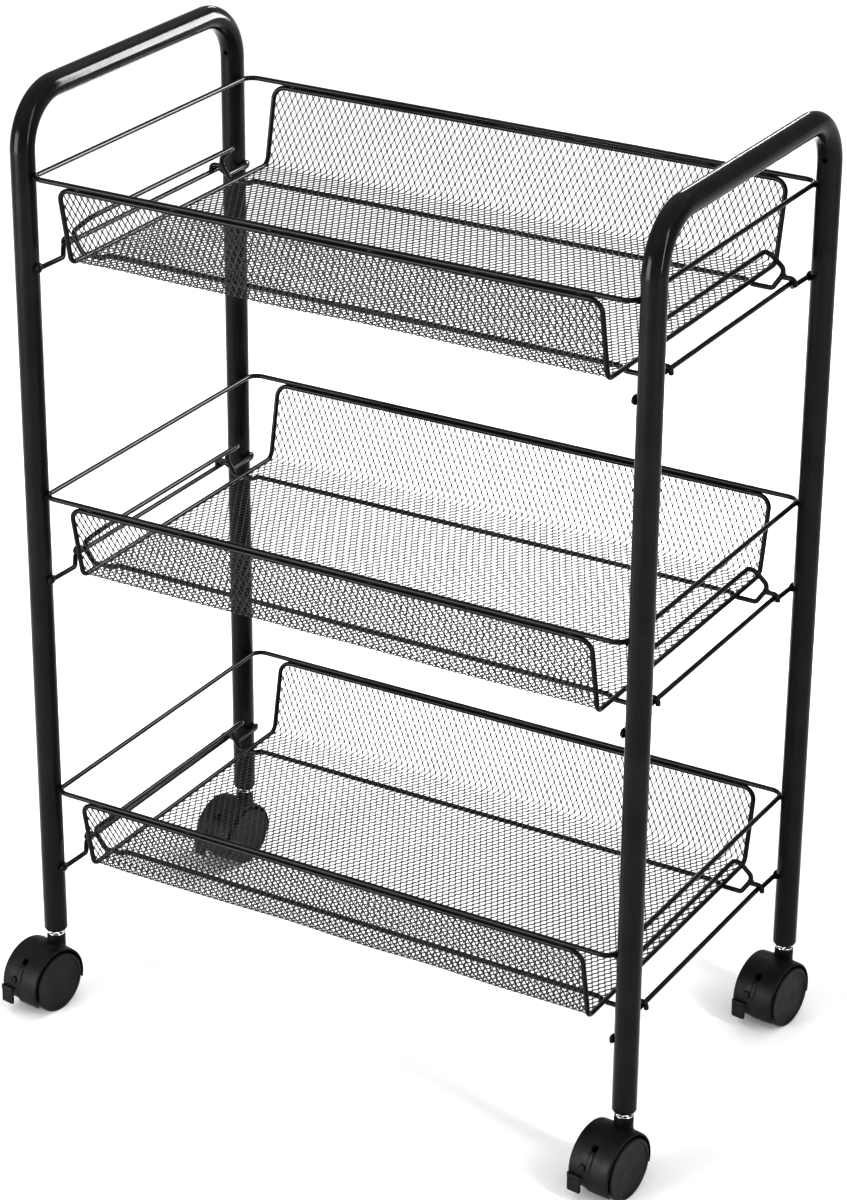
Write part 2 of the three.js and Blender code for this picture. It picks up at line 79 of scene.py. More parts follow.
ROD_HALF_X = 206 * MM
ROD_DROP = 53.3 * MM
ROD_END_DROP = 59 * MM
ROD_END_HALF_Y = 119 * MM
ROD_JOGGLE_HALF_Y = 87.5 * MM
ROD_JOGGLE_LENGTH = 5 * MM
ROD_JOGGLE_RADIUS = 3 * MM
ROD_JOGGLE_LEAN = 1 * MM  # how far the rod leans in before it joggles out
BEARER_HALF_Y = 83 * MM
BEARER_DROP = 55.7 * MM
BEARER_DIP = 2.5 * MM  # how far the bearers dip to pass under the ends of the mesh
BEARER_DIP_START_X = 176 * MM
BEARER_DIP_END_X = 181 * MM
BEARER_BEND_RADIUS = 3 * MM
HOOK_RISE_START_X = 194.5 * MM
HOOK_RISE_END_X = 200 * MM
HOOK_RADIUS = 3.3 * MM
HOOK_TIP = 1.5 * MM  # the straight end of the hook
GUARD_TOP_X = 190 * MM
GUARD_FOOT_X = 201 * MM
GUARD_FOOT_DROP = 0.6 * MM  # below the middle of the bearer's hook
GUARD_DROP = 34.5 * MM
GUARD_KNEE_DROP = 44.5 * MM  # where the guard starts to lean in over the basket
GUARD_KNEE_RADIUS = 4 * MM
GUARD_CORNER_RADIUS = 7 * MM

# Weld beads, by their half sizes along x, y and z.
ROD_BEAD = (1.9 * MM, 4.0 * MM, 3.2 * MM)
RIM_BEAD = (1.35 * MM, 2.8 * MM, 1.7 * MM)
SPOT_BEAD = (2.4 * MM, 1.0 * MM, 1.2 * MM)
GUARD_BEAD = (2.3 * MM, 2.0 * MM, 1.9 * MM)
ROD_BEAD_DEPTH = 1.5 * MM  # its middle in from the face of the leg
ROD_BEAD_SHIFT = 0.4 * MM
RIM_BEAD_DROP = 0.8 * MM
GUARD_BEAD_RISE = 1.1 * MM
SPOT_WELDS = 6
SPOT_INSET = 14 * MM  # the outermost spot welds, from the end of the mesh
BEAD_UNEVENNESS = 0.12
BEAD_LUMPS = 1.7

CASTER_TOE = math.radians(-8)
AXLE_Y = -13.8 * MM
AXLE_Z = 20.5 * MM
WHEEL_RADIUS = 20.5 * MM
WHEEL_INNER_X = 3.2 * MM
WHEEL_OUTER_X = 15.8 * MM
HOOD_INNER_RADIUS = 22.2 * MM
HOOD_OUTER_RADIUS = 24 * MM
HOOD_HALF_WIDTH = 14.6 * MM
HOOD_BACK_ANGLE = math.radians(-14)
HOOD_FRONT_ANGLE = math.radians(187)  # behind the brake tab
HOOD_SKIRT_ANGLE = math.radians(209)  # beside it
HOOD_SKIRT_X = -2.4 * MM
HOOD_SKIRT_BLEND = 1.2 * MM
HOOD_EDGE_RADIUS = 0.9 * MM
HOOD_CROWN = 0.5 * MM
HOOD_LIP = 0.8 * MM
HOOD_LIP_SWEEP = 0.08
HOOD_SLOT_ANGLES = (math.radians(127), math.radians(137.5))
HOOD_SLOT_HALF = 2.0 * MM
RIB_RISE_ANGLES = (math.radians(138), math.radians(142))
RIB_FALL_ANGLES = (math.radians(166), math.radians(172))
RIB_HEIGHT = 0.7 * MM
RIB_SLOPE_X = (1.1 * MM, 2.1 * MM)  # where its sides start and end
WEB_HALF = 2.4 * MM
WEB_HUB_RADIUS = 6.3 * MM
WEB_OVERLAP = 0.6 * MM  # into the hood
WEB_SLOT_ANGLES = (math.radians(124), math.radians(141))
WEB_SLOT_DEPTH = 8 * MM
BOSS_RADIUS = 6.1 * MM
BOSS_TOP_Z = 47.4 * MM
BOSS_BOTTOM_Z = 36 * MM
BOSS_GROOVE = 0.35 * MM
STEM_BORE = 3.7 * MM
BUTTON_ANGLE = math.radians(166)
BUTTON_X = -4.6 * MM
BRAKE_ANGLE = math.radians(180)
BRAKE_X = -9.0 * MM
BRAKE_TIP_OUT = math.radians(7)

# The expanded metal: one diamond is STRAND_PITCH_U along the basket by STRAND_PITCH_V across it.
STRAND_PITCH_U = 4.52 * MM
STRAND_PITCH_V = 8.26 * MM
STRAND_WIDTH = 0.55 * MM
STRAND_THICKNESS = 0.6 * MM
BOND_LENGTH = 1.3 * MM
BOND_TILT = 0.35 * MM  # how far the two ends of a bond stand out of the sheet
BOND_CORNERS = 12
MESH_WAVE = 0.8 * MM  # how far the sheet waves between its welds
MESH_WAVE_SCALE = 16  # waves to the metre
MESH_WAVE_FADE = 25 * MM  # where the wave dies out, in from the border

WIRE_SIDES = 14
TUBE_SIDES = 48
WIRE_ARC_STEP = math.radians(9)
TUBE_ARC_STEP = math.radians(4)
LATHE_ARC_STEP = math.radians(15)

TIERS = ("bottom", "middle", "top")
SIDES = {"left": -1, "right": 1}
ENDS = {"front": -1, "back": 1}


def centre(node):
    low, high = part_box(node)
    return (low + high) / 2


LEG_HALF_X = (centre("side_hoop_right").x - centre("side_hoop_left").x) / 2
MIDDLE_X = (centre("side_hoop_right").x + centre("side_hoop_left").x) / 2
MIDDLE_Y = centre("side_hoop_left").y
LEG_INNER_X = LEG_HALF_X - LEG_FACE
LEG_BOTTOM_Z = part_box("stem_socket_front_left")[0].z
RIM_Z = {tier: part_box(f"basket_rim_{tier}")[1].z - RIM_TOP for tier in TIERS}

# ---------------- shapes


def unit(rows):
    return rows / np.linalg.norm(rows, axis=-1, keepdims=True)


def bend(before, corner, after, radius, step):
    """Stations of a bend of the given radius at corner."""
    back, ahead = unit(before - corner), unit(after - corner)
    half = math.acos(np.clip(back @ ahead, -1, 1)) / 2
    middle = corner + unit(back + ahead) * radius / math.sin(half)
    start = corner + back * radius / math.tan(half) - middle
    axis = unit(np.cross(ahead, back))
    sideways = np.cross(axis, start)
    sweep_angle = math.pi - 2 * half
    steps = max(2, round(sweep_angle / step))
    angles = np.linspace(0, sweep_angle, steps + 1)[:, None]
    return middle + start * np.cos(angles) + sideways * np.sin(angles)


def route(corners, closed=False, step=WIRE_ARC_STEP):
    """Stations through (point, bend radius) corners."""
    points = [np.array(at, float) for at, _ in corners]
    count = len(points)
    stations = []
    for i, (_, radius) in enumerate(corners):
        if radius == 0 or (not closed and i in (0, count - 1)):
            stations.append(points[i][None])
        else:
            stations.append(bend(points[i - 1], points[i], points[(i + 1) % count], radius, step))
    return np.vstack(stations)


def rings_along(stations, radii, sides, closed):
    """Rings of vertices round a line of stations, with as little twist as possible."""
    stations = np.array(stations, float)
    if closed:
        ahead = unit(np.roll(stations, -1, 0) - stations)
        tangents = unit(ahead + np.roll(ahead, 1, 0))
    else:
        ahead = unit(np.diff(stations, axis=0))
        tangents = unit(np.vstack([ahead[:1], ahead[1:] + ahead[:-1], ahead[-1:]]))
    seed = np.array([0, 0, 1.0]) if abs(tangents[0][2]) < 0.9 else np.array([1.0, 0, 0])
    normals = [unit(seed - tangents[0] * (seed @ tangents[0]))]
    for tangent in tangents[1:]:
        carried = normals[-1] - tangent * (normals[-1] @ tangent)
        normals.append(unit(carried))
    normals = np.array(normals)
    twist = 0.0
    if closed:
        carried = unit(normals[-1] - tangents[0] * (normals[-1] @ tangents[0]))
        twist = math.atan2(np.cross(carried, normals[0]) @ tangents[0], carried @ normals[0])
    binormals = np.cross(tangents, normals)
    turns = np.arange(sides) * 2 * math.pi / sides
    share = np.arange(len(stations)) / len(stations)
    angles = turns[None, :] + twist * share[:, None]
    radii = np.broadcast_to(radii, len(stations))[:, None, None]
    cosines, sines = np.cos(angles)[..., None], np.sin(angles)[..., None]
    offsets = normals[:, None] * cosines + binormals[:, None] * sines
    return stations[:, None] + radii * offsets


def ring_faces(rings, sides, closed, start=0):
    faces = []
    for i in range(rings if closed else rings - 1):
        a, b = start + i * sides, start + ((i + 1) % rings) * sides
        for j in range(sides):
            k = (j + 1) % sides
            faces.append((a + j, a + k, b + k, b + j))
    return faces


class Shells:
    """Closed shells collected into one piece."""

    def __init__(self):
        self.vertices = []
        self.faces = []
        self.count = 0

    def add(self, vertices, faces):
        vertices = np.array(vertices, float).reshape(-1, 3)
        self.vertices.append(vertices)
        self.faces += [tuple(i + self.count for i in face) for face in faces]
        self.count += len(vertices)
        return self

    def wire(self, stations, closed=False):
        """A round wire along the stations, whose open ends are rounded over."""
        radius, sides = WIRE_RADIUS, WIRE_SIDES
        if closed:
            rings = rings_along(stations, radius, sides, True)
            return self.add(rings, ring_faces(len(rings), sides, True))
        edge = WIRE_END_ROUNDING * radius
        first, last = unit(stations[1] - stations[0]), unit(stations[-2] - stations[-1])
        turns = np.radians([0, 30, 60, 90])
        lead = [stations[0] + first * (edge - edge * math.sin(t)) for t in turns[::-1]]
        tail = [stations[-1] + last * (edge - edge * math.sin(t)) for t in turns]
        radii_lead = [radius - edge + edge * math.cos(t) for t in turns[::-1]]
        radii_tail = [radius - edge + edge * math.cos(t) for t in turns]
        line = np.vstack([lead, stations[1:-1], tail])
        radii = np.array(radii_lead + [radius] * (len(stations) - 2) + radii_tail)
        rings = rings_along(line, radii, sides, False)
        count = len(rings)
        faces = ring_faces(count, sides, False)
        faces.append(tuple(reversed(range(sides))))
        faces.append(tuple(range((count - 1) * sides, count * sides)))
        return self.add(rings, faces)

    def bead(self, middle, radii, seed):
        """A weld bead: an uneven ellipsoid."""
        ball = bmesh.new()
        bmesh.ops.create_icosphere(ball, subdivisions=3, radius=1)
        points = []
        for vertex in ball.verts:
            lift = 1 + BEAD_UNEVENNESS * noise.noise(vertex.co * BEAD_LUMPS + Vector((seed, 0, 0)))
            points.append([m + c * r * lift for m, c, r in zip(middle, vertex.co, radii)])
        faces = [[v.index for v in face.verts] for face in ball.faces]
        ball.free()
        return self.add(points, faces)

    def lathe(self, profile, sides, axis="z"):
        """A (radius, height) profile turned about an axis; a radius of 0 is a pole."""
        vertices, rows = [], []
        for radius, height in profile:
            if radius < 1e-9:
                rows.append([sum(map(len, rows))])
                vertices.append((0, 0, height))
                continue
            begin = len(vertices)
            rows.append(list(range(begin, begin + sides)))
            for j in range(sides):
                angle = 2 * math.pi * j / sides
                vertices.append((radius * math.cos(angle), radius * math.sin(angle), height))
        faces = []
        for low, high in zip(rows, rows[1:]):
            for j in range(sides):
                k = (j + 1) % sides
                if len(low) == 1:
                    faces.append((low[0], high[k], high[j]))
                elif len(high) == 1:
                    faces.append((low[j], low[k], high[0]))
                else:
                    faces.append((low[j], low[k], high[k], high[j]))
        points = np.array(vertices, float)
        if axis == "x":
            points = points[:, [2, 0, 1]]
        return self.add(points, faces)

    def move(self, matrix):
        """Applies a matrix to everything collected so far."""
        turn = np.array(matrix)
        self.vertices = [v @ turn[:3, :3].T + turn[:3, 3] for v in self.vertices]
        return self

    def mesh(self, name):
        data = bpy.data.meshes.new(name)
        data.from_pydata(np.vstack(self.vertices).tolist(), [], self.faces)
        data.update()
        return data


def outward(data):
    """Turns every shell's faces to point out."""
    work = bmesh.new()
    work.from_mesh(data)
    bmesh.ops.recalc_face_normals(work, faces=work.faces)
    work.to_mesh(data)
    work.free()


def piece(name, shells, material, body, stands_for, sharp=40.0):
    """Dresses the collected shells, with every face turned to point out."""
    data = shells.mesh(name)
    outward(data)
    return dress(name, data, material, body, stands_for, sharp)


def dress(name, data, material, body, stands_for, sharp=40.0):
    """Makes a mesh an object that rides on a body in place of a CAD node."""
    data.materials.clear()
    data.materials.append(material)
    data.shade_smooth()
    data.set_sharp_from_angle(angle=math.radians(sharp))
    made = bpy.data.objects.new(name, data)
    bpy.context.scene.collection.objects.link(made)
    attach(made, body)
    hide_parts(stands_for)
    return made


def cut(data, cutter_data):
    """Cuts one mesh from another."""
    scene = bpy.context.scene
    body = bpy.data.objects.new("cut_body", data)
    tool = bpy.data.objects.new("cut_tool", cutter_data)
    for made in (body, tool):
        scene.collection.objects.link(made)
    step = body.modifiers.new("cut", "BOOLEAN")
    step.operation = "DIFFERENCE"
    step.solver = "EXACT"
    step.object = tool
    bpy.context.view_layer.update()
    graph = bpy.context.evaluated_depsgraph_get()
    result = bpy.data.meshes.new_from_object(body.evaluated_get(graph))
    for made in (body, tool):
        bpy.data.objects.remove(made)
    return result


# ---------------- materials

# Most of a noise lies between these two values.
GRAIN_LOW, GRAIN_HIGH = 0.3, 0.7


def material(name, colour, roughness, metallic=0.0, **sockets):
    """A Principled material, with its node tree, its shader and its object coordinates."""
    made = bpy.data.materials.new(name)
    made.use_nodes = True
    tree = made.node_tree
    shader = next(n for n in tree.nodes if n.type == "BSDF_PRINCIPLED")
    shader.inputs["Base Color"].default_value = (*colour, 1)
    shader.inputs["Roughness"].default_value = roughness
    shader.inputs["Metallic"].default_value = metallic
    for socket, value in sockets.items():
        shader.inputs[socket.replace("_", " ")].default_value = value
    place = tree.nodes.new("ShaderNodeTexCoord")
    return made, tree, shader, place.outputs["Object"]


def grain(tree, place, scale, detail, rough=0.5):
    made = tree.nodes.new("ShaderNodeTexNoise")
    made.inputs["Scale"].default_value = scale
    made.inputs["Detail"].default_value = detail
    made.inputs["Roughness"].default_value = rough
    tree.links.new(place, made.inputs["Vector"])
    return made.outputs["Fac"]


def spread(tree, source, low, high):
    """Stretches a grain over the values from low to high."""
    made = tree.nodes.new("ShaderNodeMapRange")
    made.inputs["From Min"].default_value = GRAIN_LOW
    made.inputs["From Max"].default_value = GRAIN_HIGH
    made.inputs["To Min"].default_value = low
    made.inputs["To Max"].default_value = high
    tree.links.new(source, made.inputs["Value"])
    return made.outputs["Result"]


def tint(tree, source, dark, light):
    """Stretches a grain over the colours from dark to light."""
    made = tree.nodes.new("ShaderNodeValToRGB")
    made.color_ramp.elements[0].position = GRAIN_LOW
    made.color_ramp.elements[1].position = GRAIN_HIGH
    made.color_ramp.elements[0].color = (*dark, 1)
    made.color_ramp.elements[1].color = (*light, 1)
    tree.links.new(source, made.inputs["Fac"])
    return made.outputs["Color"]


def vary(tree, shader, place, colour_grain, dark, light, gloss_grain, smooth, rough):
    """Varies the colour with one (scale, detail) grain and the roughness with another."""
    shade = tint(tree, grain(tree, place, *colour_grain), dark, light)
    tree.links.new(shade, shader.inputs["Base Color"])
    gloss = spread(tree, grain(tree, place, *gloss_grain), smooth, rough)
    tree.links.new(gloss, shader.inputs["Roughness"])


def bumps(tree, shader, *layers):
    """Stacks (height, strength, distance) layers of bump."""
    normal = None
    for height, strength, distance in layers:
        made = tree.nodes.new("ShaderNodeBump")
        made.inputs["Strength"].default_value = strength
        made.inputs["Distance"].default_value = distance
        tree.links.new(height, made.inputs["Height"])
        if normal is not None:
            tree.links.new(normal, made.inputs["Normal"])
        normal = made.outputs["Normal"]
    tree.links.new(normal, shader.inputs["Normal"])


def powder_coat():
    """Gloss black powder coat, with the faint orange peel that it cures with."""
    made, tree, shader, place = material(
        "black_powder_coat", (0.01, 0.01, 0.0104), 0.18, Specular_IOR_Level=0.18
    )
    dark, light = (0.0075, 0.0075, 0.0079), (0.0135, 0.0135, 0.014)
    vary(tree, shader, place, (35, 4), dark, light, (90, 5), 0.1, 0.22)
    peel = grain(tree, place, 750, 2)
    waves = grain(tree, place, 110, 2)
    bumps(tree, shader, (peel, 0.12, 0.0002), (waves, 0.25, 0.0003))
    return made


def mesh_coat():
    """The same coat on the expanded metal: thinner, duller, with dust-fine grain."""
    made, tree, shader, place = material(
        "black_mesh", (0.02, 0.02, 0.0205), 0.4, Specular_IOR_Level=0.35
    )
    dark, light = (0.013, 0.013, 0.0134), (0.03, 0.03, 0.0308)
    vary(tree, shader, place, (60, 4), dark, light, (220, 3), 0.34, 0.5)
    bumps(tree, shader, (grain(tree, place, 1600, 2), 0.15, 0.0001))
    return made


def moulded(name, dark, light, smooth, rough, texture):
    """Moulded nylon: a fine spark-eroded texture over slow changes in sheen."""
    made, tree, shader, place = material(name, light, rough, Specular_IOR_Level=0.26)
    vary(tree, shader, place, (70, 5), dark, light, (160, 4), smooth, rough)
    fine, coarse = grain(tree, place, 1500, 4, 0.65), grain(tree, place, 260, 2)
    bumps(tree, shader, (fine, texture, 0.00025), (coarse, 0.12, 0.0003))
    return made


def chrome_plate():
    """Bright plating with a slight haze."""
    made, tree, shader, place = material("chrome", (0.86, 0.87, 0.89), 0.08, 1.0)
    dark, light = (0.72, 0.73, 0.75), (0.92, 0.93, 0.95)
    vary(tree, shader, place, (300, 3), dark, light, (500, 4), 0.04, 0.16)
    bumps(tree, shader, (grain(tree, place, 900, 2), 0.08, 0.0001))
    return made


def axle_steel():
    """Plain drawn steel."""
    made, tree, shader, place = material("axle_steel", (0.5, 0.5, 0.51), 0.35, 1.0)
    dark, light = (0.38, 0.38, 0.39), (0.58, 0.58, 0.59)
    vary(tree, shader, place, (500, 4), dark, light, (1500, 4), 0.25, 0.5)
    return made


COAT = powder_coat()
MESH = mesh_coat()
CASTER = moulded("caster_plastic", (0.004, 0.004, 0.0044), (0.01, 0.01, 0.0104), 0.42, 0.58, 0.4)
WHEEL = moulded("wheel_plastic", (0.009, 0.009, 0.0098), (0.017, 0.017, 0.018), 0.42, 0.56, 0.3)
SOCKET = moulded("socket_plastic", (0.005, 0.005, 0.0055), (0.012, 0.012, 0.0125), 0.4, 0.55, 0.25)
CHROME = chrome_plate()
AXLE = axle_steel()

# ---------------- camera, lights and floor

CAMERA_AZIMUTH = math.radians(30.0)
CAMERA_ELEVATION = math.radians(25.4)
CAMERA_ROLL = math.radians(0.43)
CAMERA_DISTANCE = 2.2446
CAMERA_AIM = Vector((0.0108, 0.0004, 0.3053))
CAMERA_LENS = 106.7

WORLD_STRENGTH = 0.36
SUN_STRENGTH = 0.94
SUN_ANGLE = math.radians(110)
FLOOR_HALF = 12.0


def make_camera():
    data = bpy.data.cameras.new("camera")
    data.lens = CAMERA_LENS
    data.clip_start, data.clip_end = 0.05, 50
    made = bpy.data.objects.new("camera", data)
    bpy.context.scene.collection.objects.link(made)
    back = Vector((
        math.sin(CAMERA_AZIMUTH) * math.cos(CAMERA_ELEVATION),
        -math.cos(CAMERA_AZIMUTH) * math.cos(CAMERA_ELEVATION),
        math.sin(CAMERA_ELEVATION),
    ))
    made.location = CAMERA_AIM + back * CAMERA_DISTANCE
    look = (-back).to_track_quat("-Z", "Y").to_matrix()
    roll = Matrix.Rotation(CAMERA_ROLL, 3, "Z")
    made.rotation_euler = (look @ roll).to_euler()
    bpy.context.scene.camera = made


def softbox(name, place, target, width, height, radiance):
    """An area light of an even radiance, unseen by the camera."""
    data = bpy.data.lights.new(name, "AREA")
    data.shape = "RECTANGLE"
    data.size, data.size_y = width, height
    data.energy = radiance * math.pi * width * height
    made = bpy.data.objects.new(name, data)
    bpy.context.scene.collection.objects.link(made)
    made.visible_camera = False
    made.location = place
    made.rotation_euler = (Vector(target) - Vector(place)).to_track_quat("-Z", "Y").to_euler()


def make_studio():
    world = bpy.data.worlds.new("studio")
    bpy.context.scene.world = world
    world.use_nodes = True
    sky = world.node_tree.nodes["Background"]
    sky.inputs["Color"].default_value = (1, 1, 1, 1)
    sky.inputs["Strength"].default_value = WORLD_STRENGTH
    middle = (0, 0, 0.32)
    softbox("front_left_panel", (-1.22, -2.28, 0.5), middle, width=1.5, height=1.6, radiance=9)
    softbox(
        "right_handle_strip", (-1.0, 2.35, 1.3), (0, 2.35, 1.3), width=0.9, height=0.16, radiance=18
    )
    softbox("right_strip", (2.15, -0.56, 1.22), middle, width=0.26, height=2.0, radiance=14)
    # This one faces left, so that only the left hoop and the left wires catch it.
    softbox(
        "left_hoop_panel", (0.19, 0.72, 0.78), (-1, 0.72, 0.78), width=0.62, height=0.5, radiance=19
    )
    overhead = bpy.data.lights.new("overhead", "SUN")
    overhead.energy = SUN_STRENGTH
    overhead.angle = SUN_ANGLE
    made = bpy.data.objects.new("overhead", overhead)
    bpy.context.scene.collection.objects.link(made)
    view = bpy.context.scene.view_settings
    view.view_transform = "Standard"
    view.look = "High Contrast"


def make_floor():
    half = FLOOR_HALF
    corners = [(-half, -half, 0), (half, -half, 0), (half, half, 0), (-half, half, 0)]
    data = bpy.data.meshes.new("studio_floor")
    data.from_pydata(corners, [], [(0, 1, 2, 3)])
    made = bpy.data.objects.new("studio_floor", data)
    paint, tree, shader, place = material(
        "studio_floor", (0.93, 0.93, 0.93), 0.75, Specular_IOR_Level=0.2
    )
    shade = tint(tree, grain(tree, place, 3, 3), (0.925, 0.925, 0.925), (0.94, 0.94, 0.94))
    tree.links.new(shade, shader.inputs["Base Color"])
    data.materials.append(paint)
    bpy.context.scene.collection.objects.link(made)


make_camera()
make_studio()
make_floor()

# ---------------- side hoops


def side_hoop(side):
    """A bent tube with its bore, open at both feet, and a vent hole under the back bend."""
    x = MIDDLE_X + SIDES[side] * LEG_HALF_X
    front_y, back_y = MIDDLE_Y - LEG_HALF_Y, MIDDLE_Y + LEG_HALF_Y
    foot_z = LEG_BOTTOM_Z + LEG_FOOT_GAP
    corners = [
        ((x, front_y, foot_z), 0),
        ((x, front_y, HANDLE_Z), HANDLE_BEND_RADIUS),
        ((x, back_y, HANDLE_Z), HANDLE_BEND_RADIUS),
        ((x, back_y, foot_z), 0),
    ]
    line = route(corners, step=TUBE_ARC_STEP)
    outer = rings_along(line, TUBE_RADIUS, TUBE_SIDES, False)
    inner = rings_along(line, TUBE_RADIUS - TUBE_WALL, TUBE_SIDES, False)
    rings = len(line)
    count = rings * TUBE_SIDES
    faces = ring_faces(rings, TUBE_SIDES, False) + ring_faces(rings, TUBE_SIDES, False, count)
    for row in (0, (rings - 1) * TUBE_SIDES):
        for j in range(TUBE_SIDES):
            k = (j + 1) % TUBE_SIDES
            faces.append((row + j, row + k, count + row + k, count + row + j))
    tube = Shells().add(np.vstack([outer, inner]), faces).mesh("hoop")
    outward(tube)
    bit, length = VENT_HOLE_RADIUS, VENT_DRILL_LENGTH
    drill = Shells().lathe([(0, 0), (bit, 0), (bit, length), (0, length)], 20)
    forwards = Matrix.Rotation(math.pi / 2, 4, "X")
    tool = drill.move(Matrix.Translation((x, back_y, VENT_HOLE_Z)) @ forwards).mesh("drill")
    outward(tool)
    return cut(tube, tool)


for side in SIDES:
    node = f"side_hoop_{side}"
    dress(f"tube_hoop_{side}", side_hoop(side), COAT, "frame", node)

# ---------------- rods, rims and frames of wire


def cross_rod(side, tier):
    """A rod between two legs, joggled out and up in its middle, with its weld beads."""
    sign, rim_z = SIDES[side], RIM_Z[tier]
    end_x = MIDDLE_X + sign * RIM_HALF_X
    inner_x = MIDDLE_X + sign * (RIM_HALF_X - ROD_JOGGLE_LEAN)
    raised_x = MIDDLE_X + sign * ROD_HALF_X
    end_z, raised_z = rim_z - ROD_END_DROP, rim_z - ROD_DROP
    foot_y = ROD_JOGGLE_HALF_Y + ROD_JOGGLE_LENGTH

    def half(end):
        return [
            ((end_x, MIDDLE_Y + end * ROD_END_HALF_Y, end_z), 0),
            ((inner_x, MIDDLE_Y + end * foot_y, end_z), ROD_JOGGLE_RADIUS),
            ((raised_x, MIDDLE_Y + end * ROD_JOGGLE_HALF_Y, raised_z), ROD_JOGGLE_RADIUS),
        ]

    made = Shells().wire(route(half(-1) + half(1)[::-1]))
    bead_x = MIDDLE_X + sign * (LEG_INNER_X - ROD_BEAD_DEPTH)
    for seed, end in enumerate((-1, 1)):
        weld = (bead_x, MIDDLE_Y + end * (LEG_HALF_Y + ROD_BEAD_SHIFT), end_z)
        made.bead(weld, ROD_BEAD, 3.1 * seed + 7 * sign + 20 * rim_z)
    return made


def basket_rim(tier):
    """The closed ring round the top of a basket, with a weld bead at each leg."""
    rim_z = RIM_Z[tier]
    corners = [
        ((MIDDLE_X + x * RIM_HALF_X, MIDDLE_Y + y * RIM_HALF_Y, rim_z), RIM_CORNER_RADIUS)
        for x, y in ((-1, -1), (1, -1), (1, 1), (-1, 1))
    ]
    made = Shells().wire(route(corners, True), closed=True)
    for x in SIDES.values():
        for y in ENDS.values():
            weld_x = MIDDLE_X + x * (LEG_INNER_X - RIM_BEAD[0])
            weld = (weld_x, MIDDLE_Y + y * LEG_HALF_Y, rim_z - RIM_BEAD_DROP)
            made.bead(weld, RIM_BEAD, 4.7 * x + 1.9 * y + 30 * rim_z)
    return made


def mesh_edge_wire(tier):
    """The closed wire round the mesh, spot welded to the rim above it."""
    rim_z = RIM_Z[tier]

    def top(x, y):
        at = (MIDDLE_X + x * MESH_HALF_X, MIDDLE_Y + y * RIM_HALF_Y, rim_z - EDGE_DROP)
        return at, MESH_CORNER_RADIUS

    def floor(x, y):
        at = (MIDDLE_X + x * MESH_HALF_X, MIDDLE_Y + y * MESH_FLOOR_HALF_Y, rim_z - MESH_FLOOR_DROP)
        return at, MESH_FOLD_RADIUS

    front_and_right = [top(-1, -1), top(1, -1), floor(1, -1), floor(1, 1)]
    back_and_left = [top(1, 1), top(-1, 1), floor(-1, 1), floor(-1, -1)]
    made = Shells().wire(route(front_and_right + back_and_left, True), closed=True)
    for i, x in enumerate(np.linspace(-1, 1, SPOT_WELDS)):
        for y in ENDS.values():
            weld_x = MIDDLE_X + x * (MESH_HALF_X - SPOT_INSET)
            weld = (weld_x, MIDDLE_Y + y * RIM_HALF_Y, rim_z - EDGE_DROP / 2)
            made.bead(weld, SPOT_BEAD, i + 10 * y)
    return made


def support_frame(tier):
    """Two bearers that dip under the mesh and hook over the rods, and a guard at each end."""
    rim_z = RIM_Z[tier]
    bearer_z = rim_z - BEARER_DROP
    dip_z = bearer_z - BEARER_DIP
    hook_z = rim_z - ROD_DROP + HOOK_RADIUS
    outer = ROD_HALF_X + HOOK_RADIUS

    def at(x_sign, x, y_sign, z):
        return MIDDLE_X + x_sign * x, MIDDLE_Y + y_sign * BEARER_HALF_Y, z

    def bearer_end(x_sign, y_sign):
        return [
            (at(x_sign, outer, y_sign, hook_z - HOOK_RADIUS - HOOK_TIP), 0),
            (at(x_sign, outer, y_sign, hook_z), HOOK_RADIUS),
            (at(x_sign, HOOK_RISE_END_X, y_sign, hook_z), BEARER_BEND_RADIUS),
            (at(x_sign, HOOK_RISE_START_X, y_sign, dip_z), BEARER_BEND_RADIUS),
            (at(x_sign, BEARER_DIP_END_X, y_sign, dip_z), BEARER_BEND_RADIUS),
            (at(x_sign, BEARER_DIP_START_X, y_sign, bearer_z), BEARER_BEND_RADIUS),
        ]

    def guard_end(x_sign, y_sign):
        return [
            (at(x_sign, GUARD_FOOT_X, y_sign, hook_z - GUARD_FOOT_DROP), 0),
            (at(x_sign, GUARD_FOOT_X, y_sign, rim_z - GUARD_KNEE_DROP), GUARD_KNEE_RADIUS),
            (at(x_sign, GUARD_TOP_X, y_sign, rim_z - GUARD_DROP), GUARD_CORNER_RADIUS),
        ]

    made = Shells()
    for y_sign in (-1, 1):
        made.wire(route(bearer_end(-1, y_sign) + bearer_end(1, y_sign)[::-1]))
    for x_sign in (-1, 1):
        made.wire(route(guard_end(x_sign, -1) + guard_end(x_sign, 1)[::-1]))
        for y_sign in (-1, 1):
            weld = at(x_sign, GUARD_FOOT_X, y_sign, hook_z + GUARD_BEAD_RISE)
            made.bead(weld, GUARD_BEAD, x_sign + 3 * y_sign)
    return made


def wire_piece(name, shells, stands_for):
    piece(name, shells, COAT, "frame", stands_for)


for tier in TIERS:
    for side in SIDES:
        wire_piece(f"wire_rod_{side}_{tier}", cross_rod(side, tier), f"cross_rod_{side}_{tier}")
    wire_piece(f"wire_rim_{tier}", basket_rim(tier), f"basket_rim_{tier}")
    wire_piece(f"wire_edge_{tier}", mesh_edge_wire(tier), f"mesh_edge_wire_{tier}")
    wire_piece(f"wire_support_{tier}", support_frame(tier), f"support_frame_{tier}")

# ---------------- expanded mesh


